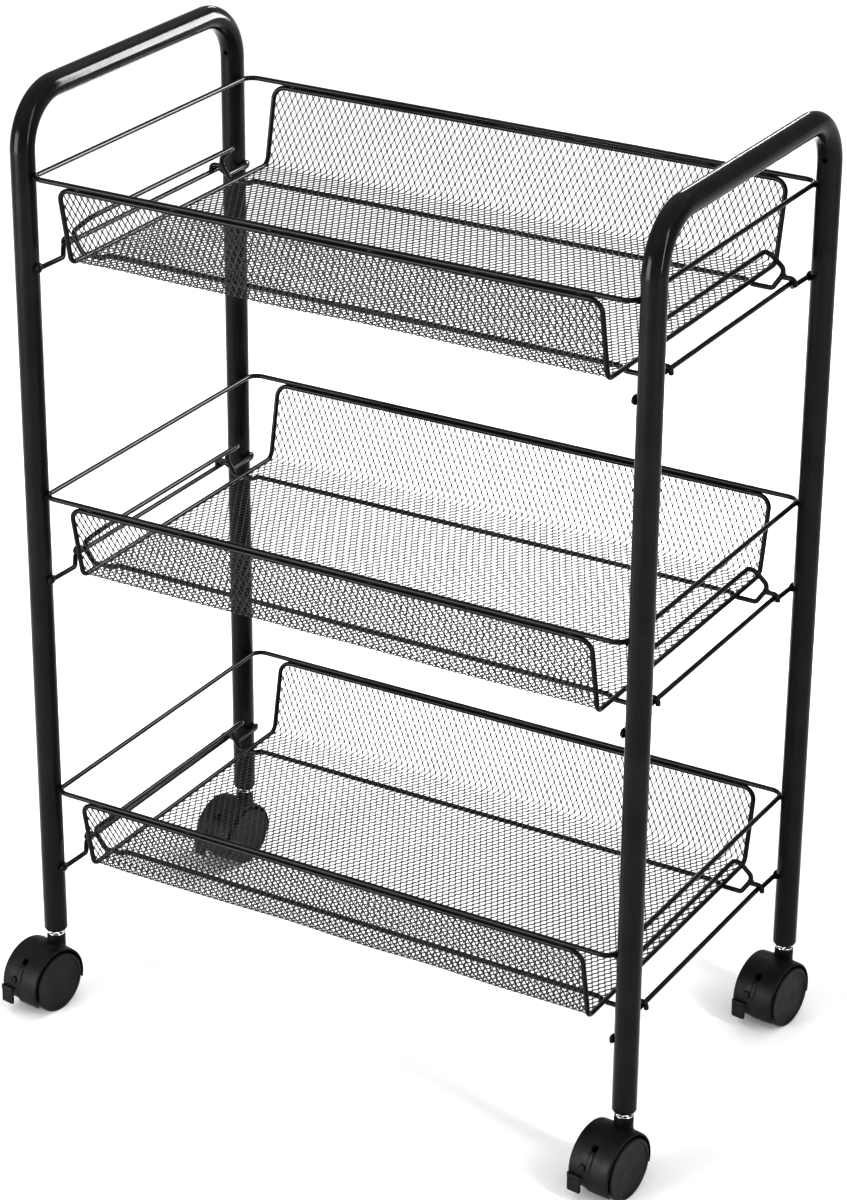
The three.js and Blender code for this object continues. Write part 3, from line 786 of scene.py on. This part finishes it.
def mesh_section():
    """Points (y, z) along the folded sheet, front top to back top, and how far along each is."""
    corners = [
        ((0, -RIM_HALF_Y, -EDGE_DROP), 0),
        ((0, -MESH_FLOOR_HALF_Y, -MESH_FLOOR_DROP), MESH_FOLD_RADIUS),
        ((0, MESH_FLOOR_HALF_Y, -MESH_FLOOR_DROP), MESH_FOLD_RADIUS),
        ((0, RIM_HALF_Y, -EDGE_DROP), 0),
    ]
    line = route(corners)[:, 1:]
    lengths = np.concatenate([[0], np.cumsum(np.linalg.norm(np.diff(line, axis=0), axis=1))])
    return line, lengths - lengths[-1] / 2


SECTION, SECTION_LENGTHS = mesh_section()
MESH_HALF_V = SECTION_LENGTHS[-1]
SLOPE_REACH = 0.6 * MM


def on_section(v):
    return [np.interp(v, SECTION_LENGTHS, SECTION[:, axis]) for axis in (0, 1)]


def on_sheet(u, v, out):
    """Where the point (u, v) of the flat sheet lies in the folded basket, out from its surface."""
    y, z = on_section(v)
    dy, dz = np.subtract(on_section(v + SLOPE_REACH), on_section(v - SLOPE_REACH))
    size = np.hypot(dy, dz)
    return np.stack([u, y - out * dz / size, z + out * dy / size], -1)


def outside(u, v):
    """How far (u, v) lies outside the wire that borders the mesh, whose corners are round."""
    du = np.abs(u) - (MESH_HALF_X - MESH_CORNER_RADIUS)
    dv = np.abs(v) - (MESH_HALF_V - MESH_CORNER_RADIUS)
    beyond = np.hypot(np.maximum(du, 0), np.maximum(dv, 0))
    return beyond + np.minimum(np.maximum(du, dv), 0) - MESH_CORNER_RADIUS


def expanded_mesh(tier):
    """Staggered bonds, each tilted out of the sheet and joined by two strands up and two down."""
    rows = int(MESH_HALF_V / STRAND_PITCH_V * 2) + 2
    columns = int(MESH_HALF_X / STRAND_PITCH_U) + 2
    width, half_bond, half_thick = STRAND_WIDTH, BOND_LENGTH / 2, STRAND_THICKNESS / 2
    knots = {}
    for row in range(-rows, rows + 1):
        for column in range(-columns, columns + 1):
            u = (column + 0.5 * (row % 2)) * STRAND_PITCH_U
            v = row * STRAND_PITCH_V / 2
            if outside(u, v) < 0:
                knots[(row, 2 * column + row % 2)] = (u, v, len(knots))
    at = np.array([(u, v) for u, v, _ in knots.values()])
    # A bond has three pairs of corners at its lower end and three at its upper end.
    flat = []
    for end, tilt in ((-1, -BOND_TILT), (1, BOND_TILT)):
        for across in (-1, 0, 1):
            for face in (-1, 1):
                flat.append((across * width, end * half_bond, tilt / 2 + face * half_thick))
    flat = np.array(flat)
    u = at[:, None, 0] + flat[None, :, 0]
    v = at[:, None, 1] + flat[None, :, 1]
    out = np.broadcast_to(flat[None, :, 2], u.shape)
    corners_uvn = np.stack([u, v, out], -1).reshape(-1, 3)
    low_back, low_front = (0, 2, 4), (1, 3, 5)
    high_back, high_front = (6, 8, 10), (7, 9, 11)
    bond = [
        (low_front[0], low_front[1], high_front[1], high_front[0]),
        (low_front[1], low_front[2], high_front[2], high_front[1]),
        (low_back[1], low_back[0], high_back[0], high_back[1]),
        (low_back[2], low_back[1], high_back[1], high_back[2]),
        (low_back[0], low_front[0], high_front[0], high_back[0]),
        (low_front[2], low_back[2], high_back[2], high_front[2]),
    ]
    faces = [tuple(BOND_CORNERS * i + k for k in face) for i in range(len(at)) for face in bond]
    extra = []
    reach_u, reach_v = STRAND_PITCH_U / 2 - width, STRAND_PITCH_V / 2 - 2 * half_bond

    def end_of(i, back, front, pair):
        """The four corners of knot i that a strand grows from or lands on."""
        first, second = pair
        corners = back[first], back[second], front[second], front[first]
        return [BOND_CORNERS * i + k for k in corners]

    for (row, column), (_, _, i) in knots.items():
        for end in (-1, 1):
            for side in (-1, 1):
                back, front = (high_back, high_front) if end > 0 else (low_back, low_front)
                near = (0, 1) if side < 0 else (1, 2)
                root = end_of(i, back, front, near)
                other = knots.get((row + end, column + side))
                if other is not None:
                    if end < 0:
                        continue
                    # The strand lands under the bond above, on the side that it comes from.
                    far = (1, 2) if side < 0 else (0, 1)
                    tip = end_of(other[2], low_back, low_front, far)
                else:
                    # The strand runs out to the border wire and ends inside it.
                    shift = np.array([side * reach_u, end * reach_v, -end * BOND_TILT])
                    ends = corners_uvn[root]
                    share = 0.0
                    for trial in np.linspace(0, 1, 21):
                        middle = ends.mean(0) + shift * trial
                        if outside(middle[0], middle[1]) < 0:
                            share = trial
                    if share == 0.0:
                        faces.append(tuple(root if end > 0 else root[::-1]))
                        continue
                    begin = len(corners_uvn) + len(extra)
                    extra += list(ends + shift * share)
                    tip = [begin, begin + 1, begin + 2, begin + 3]
                    faces.append(tuple(tip))
                for a in range(4):
                    b = (a + 1) % 4
                    faces.append((root[a], root[b], tip[b], tip[a]))
    u, v, out = np.vstack([corners_uvn, extra]).T
    points = on_sheet(u, v, out)
    # The sheet isn't quite flat: it waves a little between its welds.
    seed, scale = 5.3 * TIERS.index(tier), MESH_WAVE_SCALE
    bonds = zip(u[::BOND_CORNERS], v[::BOND_CORNERS])
    wave = [noise.noise(Vector((scale * a + seed, scale * b, 0))) for a, b in bonds]
    lift = np.repeat(wave, BOND_CORNERS)[: len(u)]
    fade = np.clip(-outside(u, v) / MESH_WAVE_FADE, 0, 1)
    points += (on_sheet(u, v, out + MESH_WAVE) - points) * (lift * fade)[:, None]
    points += np.array([MIDDLE_X, MIDDLE_Y, RIM_Z[tier]])
    return Shells().add(points, faces)


for tier in TIERS:
    node = f"mesh_tray_{tier}"
    piece(f"expanded_mesh_{tier}", expanded_mesh(tier), MESH, "frame", node, 30)

# ---------------- casters


def rounded_lathe(corners, sides, axis="z", step=LATHE_ARC_STEP):
    """A lathe whose profile is given as (radius, height, corner rounding)."""
    line = route([((r, 0, h), rounding) for r, h, rounding in corners], step=step)
    return Shells().lathe([(r, h) for r, _, h in line], sides, axis)


def stem_socket():
    """The plastic plug in the leg, with a flange that is rounded over below the tube."""
    bottom, top, flange = LEG_BOTTOM_Z, LEG_BOTTOM_Z + 35 * MM, LEG_BOTTOM_Z + 1.2 * MM
    plug_radius = 5.85 * MM
    return rounded_lathe(
        [
            (STEM_BORE, top, 0),
            (plug_radius, top, 0.4 * MM),
            (plug_radius, flange, 0),
            (7.25 * MM, flange, 0.15 * MM),
            (7.15 * MM, bottom + 0.1 * MM, 0.9 * MM),
            (5.4 * MM, bottom, 0.3 * MM),
            (STEM_BORE, bottom, 0.3 * MM),
            (STEM_BORE, top, 0),
        ],
        40,
    )


def caster_stem():
    """The chromed pin with its washer and its faceted grip above the sleeve."""
    low = BOSS_TOP_Z + 0.3 * MM
    bottom, top = 38.5 * MM, 83 * MM
    radius, washer_radius = 3.4 * MM, 5.9 * MM
    pin = rounded_lathe(
        [
            (0, bottom, 0),
            (radius, bottom, 0.4 * MM),
            (radius, low, 0),
            (washer_radius, low, 0.3 * MM),
            (washer_radius, low + 1.0 * MM, 0.4 * MM),
            (radius, low + 1.3 * MM, 0),
            (radius, 81 * MM, 0.5 * MM),
            (1.9 * MM, top, 0.3 * MM),
            (0, top, 0),
        ],
        36,
    )
    # The grip's rows of teeth: heights in parts of the last, radii of crests and roots in mm.
    teeth, tall, last = 8, 2.6 * MM, 2.9
    rows = []
    for height, crest, root in ((0.9, 5.0, 4.4), (1.3, 5.6, 4.2), (2.3, 5.4, 3.9), (last, 4.2, 3.8)):
        for j in range(2 * teeth):
            reach = (crest if j % 2 else root) * MM
            angle = math.pi * j / teeth
            z = low + height * tall / last
            rows.append((reach * math.cos(angle), reach * math.sin(angle), z))
    count = 2 * teeth
    faces = ring_faces(4, count, False)
    faces += [tuple(reversed(range(count))), tuple(range(3 * count, 4 * count))]
    return pin.add(rows, faces)


def hood_grid():
    """Angles and widths of the hood's surface, with lines at the edges of the slot in its front."""
    low, high = HOOD_SLOT_ANGLES
    parts = [
        np.linspace(HOOD_BACK_ANGLE, low, 76),
        np.linspace(low, high, 6)[1:],
        np.linspace(high, HOOD_FRONT_ANGLE, 30)[1:],
    ]
    wide = np.linspace(HOOD_SLOT_HALF, HOOD_HALF_WIDTH - HOOD_EDGE_RADIUS, 13)
    slot = np.linspace(-HOOD_SLOT_HALF, HOOD_SLOT_HALF, 6)[1:-1]
    return np.concatenate(parts), np.concatenate([-wide[::-1], slot, wide])


def hood_point(angle, x, radius):
    return np.array([x, AXLE_Y + radius * math.cos(angle), AXLE_Z + radius * math.sin(angle)])


def hood_lift(at):
    """The fillet that runs from the hood up into the sleeve."""
    fillet, sink, steepness = 2.0 * MM, 0.3 * MM, 0.75
    gap = math.hypot(at[0], at[1]) - (BOSS_RADIUS - sink)
    if gap >= fillet:
        return 0.0
    gap = max(gap, 0.0)
    return steepness * (fillet - math.sqrt(max(fillet**2 - (fillet - gap) ** 2, 0)))


def smooth_step(value, start, end):
    share = min(max((value - start) / (end - start), 0), 1)
    return share * share * (3 - 2 * share)


def caster_hood():
    """The shell over both wheels, with its slot, its rib, its rounded edges and its skirt."""
    angles, across = hood_grid()
    slot_low, slot_high = HOOD_SLOT_ANGLES
    rows, columns = len(angles), len(across)

    def angle_at(i, x):
        """Row i, stretched down to the skirt on the side away from the brake tab."""
        share = max(angles[i] - slot_high, 0) / (HOOD_FRONT_ANGLE - slot_high)
        reach = smooth_step(x, HOOD_SKIRT_X, HOOD_SKIRT_X + HOOD_SKIRT_BLEND)
        return angles[i] + share**2 * reach * (HOOD_SKIRT_ANGLE - HOOD_FRONT_ANGLE)

    def outer(i, x):
        angle = angle_at(i, x)
        crown = HOOD_CROWN * (x / HOOD_HALF_WIDTH) ** 4
        rib_rise = smooth_step(angle, *RIB_RISE_ANGLES)
        rib_fall = 1 - smooth_step(angle, *RIB_FALL_ANGLES)
        rib = RIB_HEIGHT * rib_rise * rib_fall * (1 - smooth_step(abs(x), *RIB_SLOPE_X))
        lip_start = HOOD_FRONT_ANGLE - HOOD_LIP_SWEEP
        lip = HOOD_LIP * smooth_step(angles[i], lip_start, HOOD_FRONT_ANGLE)
        at = hood_point(angle, x, HOOD_OUTER_RADIUS - crown + rib - lip)
        at[2] += hood_lift(at)
        return at

    vertices, faces = [], []
    # Going round each cross-section: the outer face, the right lip, the inner face, the left lip.
    lip_turns = np.radians([20, 45, 70])
    lip_radius = HOOD_INNER_RADIUS + 0.2 * MM

    def edge_point(angle, x, way, turn, top):
        shrink = HOOD_EDGE_RADIUS * (1 - math.cos(turn))
        return hood_point(angle, x + way * HOOD_EDGE_RADIUS * math.sin(turn), top - shrink)

    for i in range(rows):
        ring = [outer(i, x) for x in across]
        right, left = angle_at(i, across[-1]), angle_at(i, across[0])
        top = np.linalg.norm(ring[-1][1:] - np.array([AXLE_Y, AXLE_Z]))
        ring += [edge_point(right, across[-1], 1, turn, top) for turn in lip_turns]
        ring.append(hood_point(right, HOOD_HALF_WIDTH, lip_radius))
        ring += [hood_point(angle_at(i, x), x, HOOD_INNER_RADIUS) for x in across[::-1]]
        ring.append(hood_point(left, -HOOD_HALF_WIDTH, lip_radius))
        ring += [edge_point(left, across[0], -1, turn, top) for turn in lip_turns[::-1]]
        vertices += ring
    count = len(vertices) // rows
    inner_start = columns + len(lip_turns) + 1

    def in_slot(i, j):
        middle_angle = (angles[i] + angles[i + 1]) / 2
        middle_x = (across[j] + across[j + 1]) / 2
        return slot_low < middle_angle < slot_high and abs(middle_x) < HOOD_SLOT_HALF

    for i in range(rows - 1):
        a, b = i * count, (i + 1) * count
        for j in range(count):
            k = (j + 1) % count
            if j < columns - 1 and in_slot(i, j):
                continue
            if inner_start <= j < inner_start + columns - 1:
                mirrored = columns - 2 - (j - inner_start)
                if in_slot(i, mirrored):
                    continue
            faces.append((a + j, a + k, b + k, b + j))

    def inner_of(i, j):
        return i * count + inner_start + (columns - 1 - j)

    def joining(i, j):
        """A face between the outer and the inner side, along row i."""
        return i * count + j, i * count + j + 1, inner_of(i, j + 1), inner_of(i, j)

    slot_rows = [i for i in range(rows - 1) if in_slot(i, columns // 2 - 1)]
    slot_columns = [j for j in range(columns - 1) if in_slot(slot_rows[0], j)]
    for i in slot_rows:
        for j in (slot_columns[0], slot_columns[-1] + 1):
            faces.append((i * count + j, (i + 1) * count + j, inner_of(i + 1, j), inner_of(i, j)))
    for j in slot_columns:
        faces += [joining(i, j) for i in (slot_rows[0], slot_rows[-1] + 1)]
    for i in (0, rows - 1):
        faces += [joining(i, j) for j in range(columns - 1)]
        right = [i * count + j for j in range(columns - 1, inner_start + 1)]
        left = [i * count + j for j in list(range(inner_start + columns - 1, count)) + [0]]
        faces += [tuple(right), tuple(left)]
    return Shells().add(vertices, faces)


def caster_web():
    """The plate between the wheels, from the hood down to the hub, cut back behind the slot."""
    outer = HOOD_INNER_RADIUS + WEB_OVERLAP
    low, high = WEB_SLOT_ANGLES
    angles = np.linspace(HOOD_BACK_ANGLE, HOOD_FRONT_ANGLE, 120)
    rim = [hood_point(a, 0, outer - (WEB_SLOT_DEPTH if low < a < high else 0)) for a in angles]
    turns = np.linspace(HOOD_FRONT_ANGLE, HOOD_BACK_ANGLE + 2 * math.pi, 24)
    outline = rim + [hood_point(a, 0, WEB_HUB_RADIUS) for a in turns]
    count = len(outline)
    vertices = [p + np.array([x, 0, 0]) for x in (-WEB_HALF, WEB_HALF) for p in outline]
    faces = [tuple(range(count)), tuple(range(2 * count - 1, count - 1, -1))]
    faces += [(i, (i + 1) % count, count + (i + 1) % count, count + i) for i in range(count)]
    return Shells().add(vertices, faces)


def caster_sleeve():
    """The sleeve round the stem, with its groove and its rounded mouth."""
    groove_radius = BOSS_RADIUS - BOSS_GROOVE
    return rounded_lathe(
        [
            (STEM_BORE, BOSS_BOTTOM_Z, 0),
            (BOSS_RADIUS, BOSS_BOTTOM_Z, 0),
            (BOSS_RADIUS, BOSS_TOP_Z - 2.6 * MM, 0),
            (groove_radius, BOSS_TOP_Z - 2.4 * MM, 0),
            (groove_radius, BOSS_TOP_Z - 1.9 * MM, 0),
            (BOSS_RADIUS, BOSS_TOP_Z - 1.7 * MM, 0),
            (BOSS_RADIUS, BOSS_TOP_Z, 0.5 * MM),
            (STEM_BORE, BOSS_TOP_Z, 0.2 * MM),
            (STEM_BORE, BOSS_BOTTOM_Z, 0),
        ],
        48,
    )


def caster_housing():
    """The hood, the web, the sleeve and the pivot button, as one piece."""
    made = caster_hood()
    for extra in (caster_web(), caster_sleeve(), brake_button()):
        made.add(np.vstack(extra.vertices), extra.faces)
    return made


def brake_button():
    """The round pivot button on the front of the hood, above the brake tab."""
    rise, root = 1.3 * MM, -0.8 * MM
    button = rounded_lathe(
        [
            (0, root, 0),
            (2.7 * MM, root, 0),
            (2.5 * MM, rise, 0.6 * MM),
            (1.3 * MM, rise, 0.2 * MM),
            (1.0 * MM, rise - 0.5 * MM, 0.2 * MM),
            (0, rise - 0.5 * MM, 0),
        ],
        28,
    )
    button.move(Matrix.Rotation(math.pi / 2 - BUTTON_ANGLE, 4, "X").inverted())
    at = hood_point(BUTTON_ANGLE, BUTTON_X, HOOD_OUTER_RADIUS)
    return button.move(Matrix.Translation(at))


def caster_wheel(sign):
    """A wheel with a crowned tread, a raised rim line and a slightly domed disc."""
    outer, inner = WHEEL_OUTER_X, WHEEL_INNER_X
    edge_radius = WHEEL_RADIUS - 0.15 * MM
    recess, bore, bore_end = inner + 2.2 * MM, 3.25 * MM, 12.5 * MM
    made = rounded_lathe(
        [
            (0, outer - 0.6 * MM, 0),
            (17.5 * MM, outer - 1.0 * MM, 0.3 * MM),
            (18.3 * MM, outer - 0.25 * MM, 0.25 * MM),
            (19.4 * MM, outer - 0.15 * MM, 0.3 * MM),
            (edge_radius, outer - 0.6 * MM, 0.6 * MM),
            (WHEEL_RADIUS, (outer + inner) / 2, 60 * MM),
            (edge_radius, inner, 0.8 * MM),
            (17.4 * MM, inner, 0.3 * MM),
            (16.9 * MM, recess, 0.5 * MM),
            (7.4 * MM, recess, 0.5 * MM),
            (7.0 * MM, inner, 0.3 * MM),
            (bore, inner, 0),
            (bore, bore_end, 0),
            (0, bore_end, 0),
        ],
        72,
        "x",
        math.radians(18),
    )
    if sign < 0:
        made.move(Matrix.Rotation(math.pi, 4, "Z"))
    return made.move(Matrix.Translation((0, AXLE_Y, AXLE_Z)))


def caster_brake():
    """The brake tab: a plate with a knuckle, a dimple and rounded corners, hung from the hood."""
    half, length, thick = 5.1 * MM, 12.6 * MM, 2.0 * MM
    dimple_depth, knuckle_height = 0.7 * MM, 0.35 * MM
    corner_start, corner_cut, edge_share = 0.86, 0.16, 0.12
    root_radius = HOOD_OUTER_RADIUS + thick / 2 - 0.1 * MM
    lean = HOOD_FRONT_ANGLE + math.pi / 2 - BRAKE_TIP_OUT
    rows, columns = 26, 15
    vertices = []
    for face in (1, -1):
        for i in range(rows):
            along = i / (rows - 1)
            for j in range(columns):
                across = 2 * j / (columns - 1) - 1
                corner = 1 - smooth_step(along, corner_start, 1.0) * corner_cut * abs(across) ** 3
                y = along * length * (1 - 0.05 * (1 - corner))
                edge = min(1 - abs(across), 2 * (1 - along), edge_share) / edge_share
                depth = thick / 2 * math.sqrt(max(1 - (1 - edge) ** 2, 0)) * 0.85 + thick * 0.06
                near_dimple = -(((along - 0.3) / 0.1) ** 2) - ((across - 0.1) / 0.3) ** 2
                dimple = dimple_depth * math.exp(near_dimple)
                knuckle = knuckle_height * math.exp(-(((along - 0.12) / 0.08) ** 2))
                out = face * depth + (dimple - knuckle if face < 0 else 0)
                vertices.append((across * half * corner, y, out))
    count = rows * columns
    faces = []
    for start, flip in ((0, False), (count, True)):
        for i in range(rows - 1):
            for j in range(columns - 1):
                a = start + i * columns + j
                quad = (a, a + 1, a + columns + 1, a + columns)
                faces.append(quad[::-1] if flip else quad)
    rim = list(range(columns))
    rim += [i * columns + columns - 1 for i in range(1, rows)]
    rim += [(rows - 1) * columns + j for j in range(columns - 2, -1, -1)]
    rim += [i * columns for i in range(rows - 2, 0, -1)]
    for a, b in zip(rim, rim[1:] + rim[:1]):
        faces.append((a, count + a, count + b, b))
    made = Shells().add(vertices, faces)
    made.move(Matrix.Rotation(lean, 4, "X"))
    root = hood_point(BRAKE_ANGLE, BRAKE_X, root_radius)
    return made.move(Matrix.Translation(root))


def caster_axle():
    half, radius, chamfer = 12 * MM, 2.9 * MM, 0.5 * MM
    profile = [(0, -half, 0), (radius, -half, chamfer), (radius, half, chamfer), (0, half, 0)]
    made = rounded_lathe(profile, 24, "x")
    return made.move(Matrix.Translation((0, AXLE_Y, AXLE_Z)))


for end, y in ENDS.items():
    for side, x in SIDES.items():
        corner = f"{end}_{side}"
        body = f"caster_{corner}"
        brake, pin, axle, hood = (f"{body}_{part}" for part in ("brake", "stem", "axle", "housing"))
        at = (MIDDLE_X + x * LEG_HALF_X, MIDDLE_Y + y * LEG_HALF_Y, 0)
        place = Matrix.Translation(at) @ Matrix.Rotation(CASTER_TOE, 4, "Z")

        def put(name, shells, material, body, stands_for, sharp=40.0):
            piece(name, shells.move(place), material, body, stands_for, sharp)

        socket = f"stem_socket_{corner}"
        put(f"foot_plug_{corner}", stem_socket(), SOCKET, "frame", socket)
        put(f"stem_pin_{corner}", caster_stem(), CHROME, "frame", pin, 25)
        put(f"hood_{corner}", caster_housing(), CASTER, body, hood, 38)
        put(f"axle_pin_{corner}", caster_axle(), AXLE, body, axle)
        for wheel_side, sign in SIDES.items():
            wheel = f"{body}_wheel_{wheel_side}"
            made = caster_wheel(sign)
            put(f"wheel_{corner}_{wheel_side}", made, WHEEL, wheel, wheel, 32)
        put(f"brake_tab_{corner}", caster_brake(), CASTER, brake, brake)
